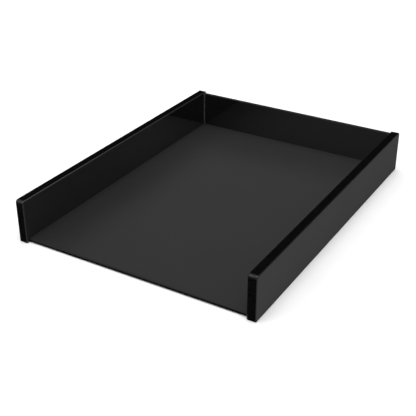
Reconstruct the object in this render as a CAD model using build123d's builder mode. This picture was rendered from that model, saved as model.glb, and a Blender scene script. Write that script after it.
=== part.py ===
from build123d import *
import os

# Letter tray: a shallow paper tray, open at the front and on top, bonded from flat cast sheet.
# Two thick side panels stand on their long edges and carry everything.  A thin floor sheet is
# butt-jointed between them, one millimetre clear of the table, and a thin back panel stands on
# the floor's rear margin, between the sides.  Every joint is a flat face on a flat face, closed
# with solvent cement, so the panels share those faces and nothing overlaps.
#
# Millimetres, +Z up.  The origin is on the table, under the middle of the tray.
# The open front faces -Y, the back panel is towards +Y, and the left side panel is at -X.

# ---- driving dimensions -------------------------------------------------------------------

tray_width = 250.0        # over the outer faces of the side panels
tray_depth = 327.0        # length of the side panels
side_height = 44.0
side_thickness = 9.0

sheet_thickness = 3.0     # floor and back panel are cut from the same thin sheet
floor_clearance = 1.0     # air under the floor sheet
end_setback = 3.0         # floor's front edge and back panel's rear face, in from the side ends
back_drop = 1.3           # back panel's top edge, below the tops of the sides

arris = 0.6               # polished bevel along the thick panels' outlines
end_round = 3.0           # radius on the thick panels' top corners, front and back
sheet_arris = 0.4         # polished bevel on the thin sheet's free edges
lip_round = 2.0           # radius on the floor's front top edge, where paper slides in
bead_leg = 1.2            # cement bead in the upright corners, measured along either face

# ---- places worked out from them ----------------------------------------------------------

side_centre_x = (tray_width - side_thickness) / 2
inner_face_x = tray_width / 2 - side_thickness
inner_width = 2 * inner_face_x

floor_underside_z = floor_clearance
floor_top_z = floor_underside_z + sheet_thickness
floor_length = tray_depth - 2 * end_setback

back_rear_y = tray_depth / 2 - end_setback
back_front_y = back_rear_y - sheet_thickness
back_centre_y = (back_rear_y + back_front_y) / 2
back_top_z = side_height - back_drop

os.makedirs("parts", exist_ok=True)


def write_part(part, name):
    """Label a finished solid and write its STEP file."""
    part.label = name
    export_step(part, f"parts/{name}.step")


# ---- side panels: thick bars on edge, top corners rounded, edges bevelled and polished -----

def side_panel(centre_x):
    """One side panel, the full depth of the tray, standing on the table."""
    with BuildPart() as panel:
        with BuildSketch(Plane.YZ.offset(centre_x - side_thickness / 2)) as outline:
            with Locations((0, side_height / 2)):
                Rectangle(tray_depth, side_height)
            fillet(outline.vertices().group_by(Axis.Y)[-1], radius=end_round)
        extrude(amount=side_thickness)
        outline_edges = panel.faces().filter_by(Axis.X).edges()
        foot_edges = panel.edges().filter_by(Axis.X).group_by(Axis.Z)[0]
        chamfer(outline_edges + foot_edges, length=arris)
    return panel.part


write_part(side_panel(-side_centre_x), "left_side_panel")
write_part(side_panel(side_centre_x), "right_side_panel")

# ---- floor: the sheet that the paper lies on ----------------------------------------------

# Its long edges are bonded to the sides and stay square.  Its free front edge is rounded above,
# so that no sheet of paper catches on it, and bevelled below.
with BuildPart() as floor_panel:
    with BuildSketch(Plane.XY.offset(floor_underside_z)):
        Rectangle(inner_width, floor_length)
    extrude(amount=sheet_thickness)
    front_face = floor_panel.faces().sort_by(Axis.Y)[0]
    fillet(front_face.edges().sort_by(Axis.Z)[-1], radius=lip_round)
    front_face = floor_panel.faces().sort_by(Axis.Y)[0]
    chamfer(front_face.edges().sort_by(Axis.Z)[0], length=sheet_arris)

write_part(floor_panel.part, "floor_panel")

# ---- back panel: stands on the floor between the sides ------------------------------------

# Only its top edge is free, so only that is bevelled.
with BuildPart() as back_panel:
    with BuildSketch(Plane.XY.offset(floor_top_z)):
        with Locations((0, back_centre_y)):
            Rectangle(inner_width, sheet_thickness)
    extrude(amount=back_top_z - floor_top_z)
    top_face = back_panel.faces().sort_by(Axis.Z)[-1]
    chamfer(top_face.edges().filter_by(Axis.X), length=sheet_arris)

write_part(back_panel.part, "back_panel")

# ---- cement beads: hardened cement in the two upright corners at the back -----------------

bead_height = back_top_z - sheet_arris - floor_top_z


def corner_bead(side):
    """A hollow-faced bead in one corner; side is -1 for the left corner and +1 for the right."""
    corner_x = side * inner_face_x
    along_back = (corner_x - side * bead_leg, back_front_y)
    along_side = (corner_x, back_front_y - bead_leg)
    with BuildPart() as bead:
        with BuildSketch(Plane.XY.offset(floor_top_z)):
            with BuildLine():
                Line((corner_x, back_front_y), along_back)
                RadiusArc(along_back, along_side, side * bead_leg)
                Line(along_side, (corner_x, back_front_y))
            make_face()
        extrude(amount=bead_height)
    return bead.part


write_part(corner_bead(-1), "left_corner_bead")
write_part(corner_bead(1), "right_corner_bead")
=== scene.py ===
import math

import bpy
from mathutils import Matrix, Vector


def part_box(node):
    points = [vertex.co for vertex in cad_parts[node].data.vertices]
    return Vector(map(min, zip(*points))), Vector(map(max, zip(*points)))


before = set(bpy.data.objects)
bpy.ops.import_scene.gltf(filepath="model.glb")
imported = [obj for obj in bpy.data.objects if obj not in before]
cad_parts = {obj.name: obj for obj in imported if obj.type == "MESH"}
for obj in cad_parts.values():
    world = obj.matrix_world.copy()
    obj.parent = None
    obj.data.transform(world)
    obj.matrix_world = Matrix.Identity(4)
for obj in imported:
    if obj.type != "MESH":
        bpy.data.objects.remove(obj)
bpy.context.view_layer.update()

# A bonded black acrylic letter tray.  The CAD panels keep their shape: this script softens their
# polished bevels, gives each sheet its finish, and sets the tray on a pale table under soft light.
# Everything is in metres, in the CAD frame: +Z up, open front towards -Y, left side panel at -X.
# A grey is one value for all three parts of a linear colour.  A gloss is a Specular IOR Level:
# 0.5 is plain acrylic, 0 has no mirror at all.

floor_low, floor_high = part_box("floor_panel")

# ---- view ----------------------------------------------------------------------------------

camera_azimuth = math.radians(30.74)      # round from the open front towards the right side
camera_elevation = math.radians(28.79)
camera_distance = 0.8361
camera_lens = 72.68                       # on a 36 mm sensor
aim_point = Vector((-0.0028, -0.0242, floor_high.z))

# ---- finish of the side and back panels ----------------------------------------------------

side_mirror_gloss = 3.8
back_mirror_gloss = 2.1
worn_front_gloss = 1.0                    # inner faces at the open front
worn_to = -0.13                           # along the depth: wholly worn in front of this
mirror_from = 0.04                        # wholly mirror-like behind this
dark_from = 0.10                          # wholly dark behind this

# The up-facing cut edges are painted darker and the end edges lighter: painted shade and painted light
# that even out the stronger light from above.
top_edge_shaded_greys = (0.0002, 0.0028)         # a pair of greys holds the darkest and the lightest,
end_edge_lit_greys = (0.0003, 0.0044)         # unless its comment says otherwise
outer_smudge_and_sheen_greys = (0.0465, 0.0447)            # clean, smudged; both lightened by a painted reflection of the table
inner_greys = (0.0110, 0.0012)            # at the open front, at the rear
bevel_grey = 0.0033
rounding_grey = 0.0055
panel_speck_grey = 0.0500
panel_speck_strength = 0.3

bevel_glosses = (0.26, 0.66)              # upright bevels, level bevels
bevel_slopes = (0.2, 0.6)                 # rise of the normal between which they pass over
rounding_glosses = (0.03, 0.30)           # along its borders, along its crest

outer_roughness = 0.25
inner_roughnesses = (0.14, 0.006)         # at the open front, at the rear
bevel_roughness = 0.15
smudge_roughness = 0.05                   # added where a smudge is strongest

# ---- finish of the floor -------------------------------------------------------------------

satin_greys = (0.0108, 0.0120)
rub_grey = 0.0180
rub_strength = 0.35
floor_speck_grey = 0.0600
floor_speck_strength = 0.5
floor_edge_greys = (0.0008, 0.0020)
lip_slopes = (0.30, 0.50)                 # rise of the normal where the cut edge turns to satin
satin_gloss = 0.030
satin_roughnesses = (0.36, 0.40)          # clean, smudged
rubbed_roughness = 0.33

# ---- finish of the cement beads and the table ----------------------------------------------

cement_greys = (0.034, 0.048)
cement_roughnesses = (0.22, 0.34)
cement_gloss = 0.3

table_half_width = 8.0
table_greys = (0.520, 0.535)
table_roughness = 0.9

# ---- numbers shared by the shaders ---------------------------------------------------------

acrylic_ior = 1.5
noise_range = (0.3, 0.7)                  # most of a noise texture's values lie in it
smudge_range = (0.35, 0.70)               # the part of the noise in which a smudge builds up
hairline_softness = 0.06
flat_from, flat_full = 0.95, 0.992        # how squarely a flat face's normal lies on its axis
across_from, across_full = 0.45, 0.25     # sideways part of the normal on a rounding
crest_border, crest_middle = 0.93, 0.72   # larger of its other two parts, there and on the crest
along_saw_marks = 0.12                    # saw marks are drawn out along this axis of the grain

# ---- softened edges ------------------------------------------------------------------------

thick_panel_softening = 0.00012
thin_panel_softening = 0.00008
softened_angle = math.radians(20)         # edges that turn by more than this are softened
weld_distance = 1e-6

# ---- studio --------------------------------------------------------------------------------

shed_axis = (-0.3, -0.20, 1.0)            # light grows along this direction
shed_heights = (0.20, 0.46)               # between these heights on it
shed_strengths = (0.10, 1.5)
backdrop_strength = 1.0


# ---- camera and where things stand round the tray ------------------------------------------

def direction_to(azimuth, elevation):
    """Unit vector from the tray, azimuth round from the open front, elevation above the table."""
    return Vector((math.sin(azimuth) * math.cos(elevation),
                   -math.cos(azimuth) * math.cos(elevation),
                   math.sin(elevation)))


def facing_back(away):
    """The rotation of a camera or light that stands in direction away and looks at the tray."""
    return (-away).to_track_quat("-Z", "Y").to_euler()


def make_camera():
    """Look down over the front right corner."""
    camera = bpy.data.cameras.new("camera")
    camera.lens = camera_lens
    camera.sensor_width = 36.0
    camera.dof.use_dof = False
    eye = bpy.data.objects.new("camera", camera)
    away = direction_to(camera_azimuth, camera_elevation)
    eye.location = aim_point + away * camera_distance
    eye.rotation_euler = facing_back(away)
    bpy.context.scene.collection.objects.link(eye)
    bpy.context.scene.camera = eye


# ---- shader helpers ------------------------------------------------------------------------

def start_material(name):
    """A new material and its empty node tree."""
    material = bpy.data.materials.new(name)
    material.use_nodes = True
    material.node_tree.nodes.clear()
    return material, material.node_tree


def add(tree, kind, inputs=None, **settings):
    """Add one shader node.  An input's value is a plain value or another node's output."""
    made = tree.nodes.new(kind)
    for name, value in settings.items():
        setattr(made, name, value)
    for name, value in (inputs or {}).items():
        if isinstance(value, bpy.types.NodeSocket):
            tree.links.new(value, made.inputs[name])
        else:
            made.inputs[name].default_value = value
    return made


def maths(tree, operation, first, second=0.0):
    """The output of one Math node."""
    return add(tree, "ShaderNodeMath", {0: first, 1: second}, operation=operation).outputs[0]


def parts_of_vector(tree, vector):
    """The X, Y and Z outputs of a vector."""
    return add(tree, "ShaderNodeSeparateXYZ", {"Vector": vector}).outputs


def remap(tree, value, low, high, to_low=0.0, to_high=1.0):
    """value moved from the range low..high to to_low..to_high, and held inside it."""
    made = add(tree, "ShaderNodeMapRange", {"Value": value, "From Min": low, "From Max": high,
                                            "To Min": to_low, "To Max": to_high})
    return made.outputs["Result"]


def blend_values(tree, share, when_0, when_1):
    """when_0 where share is 0 and when_1 where it is 1."""
    made = add(tree, "ShaderNodeMix", {"Factor": share, "A": when_0, "B": when_1},
               data_type="FLOAT")
    return made.outputs["Result"]


def spread(tree, share, pair):
    """The first of pair where share is 0, the second where it is 1."""
    return remap(tree, share, 0.0, 1.0, *pair)


def grey(tree, value):
    """A neutral colour from one value."""
    made = add(tree, "ShaderNodeCombineColor", {"Red": value, "Green": value, "Blue": value})
    return made.outputs["Color"]


def finish_material(tree, colour, roughness, gloss, normal=None):
    """End a material with the Principled shader; colour is a grey."""
    shader = add(tree, "ShaderNodeBsdfPrincipled", {"Base Color": grey(tree, colour),
                                                    "Roughness": roughness,
                                                    "Specular IOR Level": gloss,
                                                    "IOR": acrylic_ior})
    if normal is not None:
        tree.links.new(normal, shader.inputs["Normal"])
    output = add(tree, "ShaderNodeOutputMaterial")
    tree.links.new(shader.outputs["BSDF"], output.inputs["Surface"])


# ---- which part of a sheet is being shaded ---------------------------------------------------

def parts_of_sheet(tree, broad_axis):
    """Where a point lies on a sheet whose broad faces look along broad_axis.

    Returns the point, the parts of its true normal, the sizes of those parts without their
    signs, and a share from 0 to 1 that is 1 on the two broad faces.
    """
    geometry = add(tree, "ShaderNodeNewGeometry")
    normal = parts_of_vector(tree, geometry.outputs["True Normal"])
    sizes = {axis: maths(tree, "ABSOLUTE", normal[axis]) for axis in "XYZ"}
    broad = remap(tree, sizes[broad_axis], flat_from, flat_full)
    return geometry.outputs["Position"], normal, sizes, broad


def bevel_share(tree, sizes):
    """1 on bevels and roundings, 0 on every flat face."""
    largest = maths(tree, "MAXIMUM", maths(tree, "MAXIMUM", sizes["X"], sizes["Y"]), sizes["Z"])
    return remap(tree, largest, flat_full, flat_from)


def rounding_shares(tree, sizes, bevel):
    """Two shares from 0 to 1: an edge that runs across the tray, and the crest along its middle."""
    rounding = maths(tree, "MULTIPLY", bevel, remap(tree, sizes["X"], across_from, across_full))
    larger = maths(tree, "MAXIMUM", sizes["Z"], sizes["Y"])
    return rounding, remap(tree, larger, crest_border, crest_middle)


# ---- surface detail shared by the sheets -----------------------------------------------------

def smudges(tree, point, scale):
    """Broad soft patches, 0 to 1, where hands and paper have dulled the polish."""
    noise = add(tree, "ShaderNodeTexNoise", {"Vector": point, "Scale": scale, "Detail": 4.0,
                                             "Roughness": 0.55})
    return remap(tree, noise.outputs["Fac"], *smudge_range)


def hairlines(tree, point, angle, rarity):
    """Fine scratches, 0 to 1, that run along one direction in the sheet's plane."""
    turned = add(tree, "ShaderNodeMapping", {"Vector": point, "Rotation": (0.0, 0.0, angle),
                                             "Scale": (9.0, 900.0, 9.0)})
    noise = add(tree, "ShaderNodeTexNoise", {"Vector": turned.outputs["Vector"], "Scale": 1.0,
                                             "Detail": 2.0, "Roughness": 0.5})
    return remap(tree, noise.outputs["Fac"], rarity, rarity + hairline_softness)


def dust(tree, point, cell, size, share):
    """Small round specks, 0 to 1: one in some of the cells, chosen by each cell's own colour.

    size is a speck's radius, and the inner half of it is solid.
    """
    cells = add(tree, "ShaderNodeTexVoronoi", {"Vector": point, "Scale": 1.0 / cell})
    speck = remap(tree, cells.outputs["Distance"], size / cell, 0.5 * size / cell)
    pick = add(tree, "ShaderNodeSeparateColor", {"Color": cells.outputs["Color"]})
    chosen = maths(tree, "LESS_THAN", pick.outputs["Red"], share)
    return maths(tree, "MULTIPLY", speck, chosen)


def cut_grain(tree, point, along_axis):
    """The fine saw marks, 0 to 1, that still show on a buffed edge; they run along_axis."""
    stretch = tuple(along_saw_marks if axis == along_axis else 1.0 for axis in "XYZ")
    drawn_out = add(tree, "ShaderNodeMapping", {"Vector": point, "Scale": stretch})
    noise = add(tree, "ShaderNodeTexNoise", {"Vector": drawn_out.outputs["Vector"],
                                             "Scale": 1500.0, "Detail": 3.0, "Roughness": 0.7})
    return remap(tree, noise.outputs["Fac"], *noise_range)


# ---- side and back panels: mirror gloss faces, darker cut edges, bright bevels ---------------

def sheet_acrylic(name, broad_axis, faces_bay, mirror_gloss):
    """Acrylic sheet on edge, polished like a mirror on the face towards the bay.

    faces_bay gives, from the tree and the parts of the point and its normal, 1 on that face.
    """
    material, tree = start_material(name)
    point, normal, sizes, broad = parts_of_sheet(tree, broad_axis)
    place = parts_of_vector(tree, point)
    inner = maths(tree, "MULTIPLY", broad, faces_bay(tree, place, normal))
    bevel = bevel_share(tree, sizes)
    rounding, crest = rounding_shares(tree, sizes, bevel)

    marks = smudges(tree, point, scale=14.0)
    specks = dust(tree, point, cell=0.009, size=0.00022, share=0.30)
    grain = cut_grain(tree, point, broad_axis)
    # Hands and paper have dulled the inner faces towards the open front.
    polish = remap(tree, place["Y"], worn_to, mirror_from)

    # Cut edge, outer face, inner face, bevel, rounding, specks: each laid over those before it.
    # Painted shade on the up-facing cut edges, painted light on the end edges; the saw grain spreads
    # each.
    shaded_top_colour = spread(tree, grain, top_edge_shaded_greys)
    lit_end_colour = spread(tree, grain, end_edge_lit_greys)
    edge_colour = blend_values(tree, sizes["Z"], lit_end_colour, shaded_top_colour)
    # The outer faces are several times lighter than the inner faces of the same sheet: a painted
    # reflection of the pale table, since they have no gloss; the smudges in it are real.
    colour = blend_values(tree, broad, edge_colour, spread(tree, marks, outer_smudge_and_sheen_greys))
    inner_colour = remap(tree, place["Y"], worn_to, dark_from, *inner_greys)
    colour = blend_values(tree, inner, colour, inner_colour)
    colour = blend_values(tree, bevel, colour, bevel_grey)
    colour = blend_values(tree, rounding, colour, rounding_grey)
    speck_share = maths(tree, "MULTIPLY", specks, panel_speck_strength)
    colour = blend_values(tree, speck_share, colour, panel_speck_grey)

    inner_gloss = blend_values(tree, polish, worn_front_gloss, mirror_gloss)
    gloss = blend_values(tree, inner, 0.0, inner_gloss)
    gloss = blend_values(tree, bevel, gloss, remap(tree, sizes["Z"], *bevel_slopes, *bevel_glosses))
    gloss = blend_values(tree, rounding, gloss, spread(tree, crest, rounding_glosses))

    inner_roughness = blend_values(tree, polish, *inner_roughnesses)
    roughness = blend_values(tree, inner, outer_roughness, inner_roughness)
    roughness = blend_values(tree, bevel, roughness, bevel_roughness)
    dulling = spread(tree, marks, (0.0, smudge_roughness))
    not_inner = maths(tree, "SUBTRACT", 1.0, inner)
    roughness = maths(tree, "ADD", roughness, maths(tree, "MULTIPLY", dulling, not_inner))
    finish_material(tree, colour, roughness, gloss)
    return material


def towards_middle(tree, place, normal):
    """1 where a side panel's face looks towards the tray's middle plane."""
    product = maths(tree, "MULTIPLY", place["X"], normal["X"])
    return maths(tree, "LESS_THAN", product, 0.0)


def towards_front(tree, place, normal):
    """1 where the back panel's face looks towards the open front, wherever it is."""
    return maths(tree, "LESS_THAN", normal["Y"], 0.0)


# ---- floor sheet: satin, so that the walls' reflections spread into a soft dark band ---------

def satin_acrylic():
    """Black sheet with a fine satin grain on its broad faces."""
    material, tree = start_material("satin_black_floor")
    point, normal, _, broad = parts_of_sheet(tree, "Z")
    marks = smudges(tree, point, scale=9.0)
    rubs = maths(tree, "MAXIMUM", hairlines(tree, point, angle=1.45, rarity=0.66),
                 hairlines(tree, point, angle=1.75, rarity=0.68))
    specks = dust(tree, point, cell=0.016, size=0.00035, share=0.22)

    rub_share = maths(tree, "MULTIPLY", rubs, rub_strength)
    colour = blend_values(tree, rub_share, spread(tree, marks, satin_greys), rub_grey)
    speck_share = maths(tree, "MULTIPLY", specks, floor_speck_strength)
    colour = blend_values(tree, speck_share, colour, floor_speck_grey)
    # The satin face runs on over the rounded front edge; the cut edge below it stays dark.
    face = maths(tree, "MAXIMUM", broad, remap(tree, normal["Z"], *lip_slopes))
    edge_colour = spread(tree, cut_grain(tree, point, "Z"), floor_edge_greys)
    colour = blend_values(tree, face, edge_colour, colour)

    gloss = blend_values(tree, face, 0.0, satin_gloss)
    roughness = blend_values(tree, rubs, spread(tree, marks, satin_roughnesses), rubbed_roughness)
    grain = add(tree, "ShaderNodeTexNoise", {"Vector": point, "Scale": 1800.0, "Detail": 2.0})
    bump = add(tree, "ShaderNodeBump", {"Height": grain.outputs["Fac"], "Strength": 0.10,
                                        "Distance": 0.0001})
    finish_material(tree, colour, roughness, gloss, bump.outputs["Normal"])
    return material


# ---- cement: slightly cloudy where it dried in the corner ------------------------------------

def cement():
    """Hardened acrylic cement, a little greyer and duller than the sheet."""
    material, tree = start_material("dried_acrylic_cement")
    point = add(tree, "ShaderNodeNewGeometry").outputs["Position"]
    ripple = add(tree, "ShaderNodeTexNoise", {"Vector": point, "Scale": 420.0, "Detail": 3.0})
    colour = remap(tree, ripple.outputs["Fac"], *noise_range, *cement_greys)
    roughness = remap(tree, ripple.outputs["Fac"], *noise_range, *cement_roughnesses)
    bump = add(tree, "ShaderNodeBump", {"Height": ripple.outputs["Fac"], "Strength": 0.25,
                                        "Distance": 0.0002})
    finish_material(tree, colour, roughness, cement_gloss, bump.outputs["Normal"])
    return material


# ---- putting the finishes on the CAD panels --------------------------------------------------

def wear(node_name, material):
    """Give one CAD node its material."""
    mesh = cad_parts[node_name].data
    mesh.materials.clear()
    mesh.materials.append(material)


def soften_edges(node_name, width):
    """Soften the edges of a panel's polished bevels, as a buffing wheel leaves them."""
    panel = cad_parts[node_name]
    weld = panel.modifiers.new("weld", "WELD")
    weld.merge_threshold = weld_distance
    bevel = panel.modifiers.new("buffed_edges", "BEVEL")
    bevel.width = width
    bevel.segments = 2
    bevel.limit_method = "ANGLE"
    bevel.angle_limit = softened_angle
    bevel.harden_normals = False


# ---- table and light -------------------------------------------------------------------------

def make_table():
    """A plain pale table top that the tray stands on."""
    half = table_half_width
    mesh = bpy.data.meshes.new("table")
    corners = [(-half, -half, 0.0), (half, -half, 0.0), (half, half, 0.0), (-half, half, 0.0)]
    mesh.from_pydata(corners, [], [(0, 1, 2, 3)])
    table = bpy.data.objects.new("table", mesh)
    bpy.context.scene.collection.objects.link(table)
    material, tree = start_material("pale_table")
    point = add(tree, "ShaderNodeNewGeometry").outputs["Position"]
    noise = add(tree, "ShaderNodeTexNoise", {"Vector": point, "Scale": 30.0, "Detail": 3.0})
    colour = remap(tree, noise.outputs["Fac"], *noise_range, *table_greys)
    finish_material(tree, colour, table_roughness, 0.0)
    mesh.materials.append(material)


def make_far_softbox(name, azimuth, elevation, width, strength):
    """A round light so far away that it lights table and tray evenly.

    azimuth and elevation are measured as the camera's are, but in degrees, and width is the
    angle that the light spans.
    """
    light = bpy.data.lights.new(name, "SUN")
    light.angle = math.radians(width)
    light.energy = strength
    lamp = bpy.data.objects.new(name, light)
    lamp.rotation_euler = facing_back(direction_to(math.radians(azimuth), math.radians(elevation)))
    bpy.context.scene.collection.objects.link(lamp)


def make_world():
    """A white studio.  What it sheds on things fades towards the horizon, least of all on the left."""
    world = bpy.data.worlds.new("studio")
    world.use_nodes = True
    tree = world.node_tree
    background = tree.nodes["Background"]
    background.inputs["Color"].default_value = (1.0, 1.0, 1.0, 1.0)
    direction = add(tree, "ShaderNodeTexCoord").outputs["Generated"]
    height = add(tree, "ShaderNodeVectorMath", {0: direction, 1: shed_axis},
                 operation="DOT_PRODUCT").outputs["Value"]
    shed = remap(tree, height, *shed_heights, *shed_strengths)
    seen = add(tree, "ShaderNodeLightPath").outputs["Is Camera Ray"]
    strength = blend_values(tree, seen, shed, backdrop_strength)
    tree.links.new(strength, background.inputs["Strength"])
    bpy.context.scene.world = world


# ---- build -------------------------------------------------------------------------------------

bpy.context.scene.view_settings.view_transform = "Standard"
make_camera()
make_world()
make_table()
make_far_softbox("key_softbox", azimuth=50.0, elevation=82.0, width=45.0, strength=3.1)
make_far_softbox("edge_softbox", azimuth=-38.0, elevation=44.0, width=12.0, strength=0.20)

side_finish = sheet_acrylic("gloss_black_side", "X", towards_middle, side_mirror_gloss)
back_finish = sheet_acrylic("gloss_black_back", "Y", towards_front, back_mirror_gloss)
wear("left_side_panel", side_finish)
wear("right_side_panel", side_finish)
wear("back_panel", back_finish)
wear("floor_panel", satin_acrylic())
bead_finish = cement()
wear("left_corner_bead", bead_finish)
wear("right_corner_bead", bead_finish)
for side_name in ("left_side_panel", "right_side_panel"):
    soften_edges(side_name, thick_panel_softening)
soften_edges("floor_panel", thin_panel_softening)
soften_edges("back_panel", thin_panel_softening)
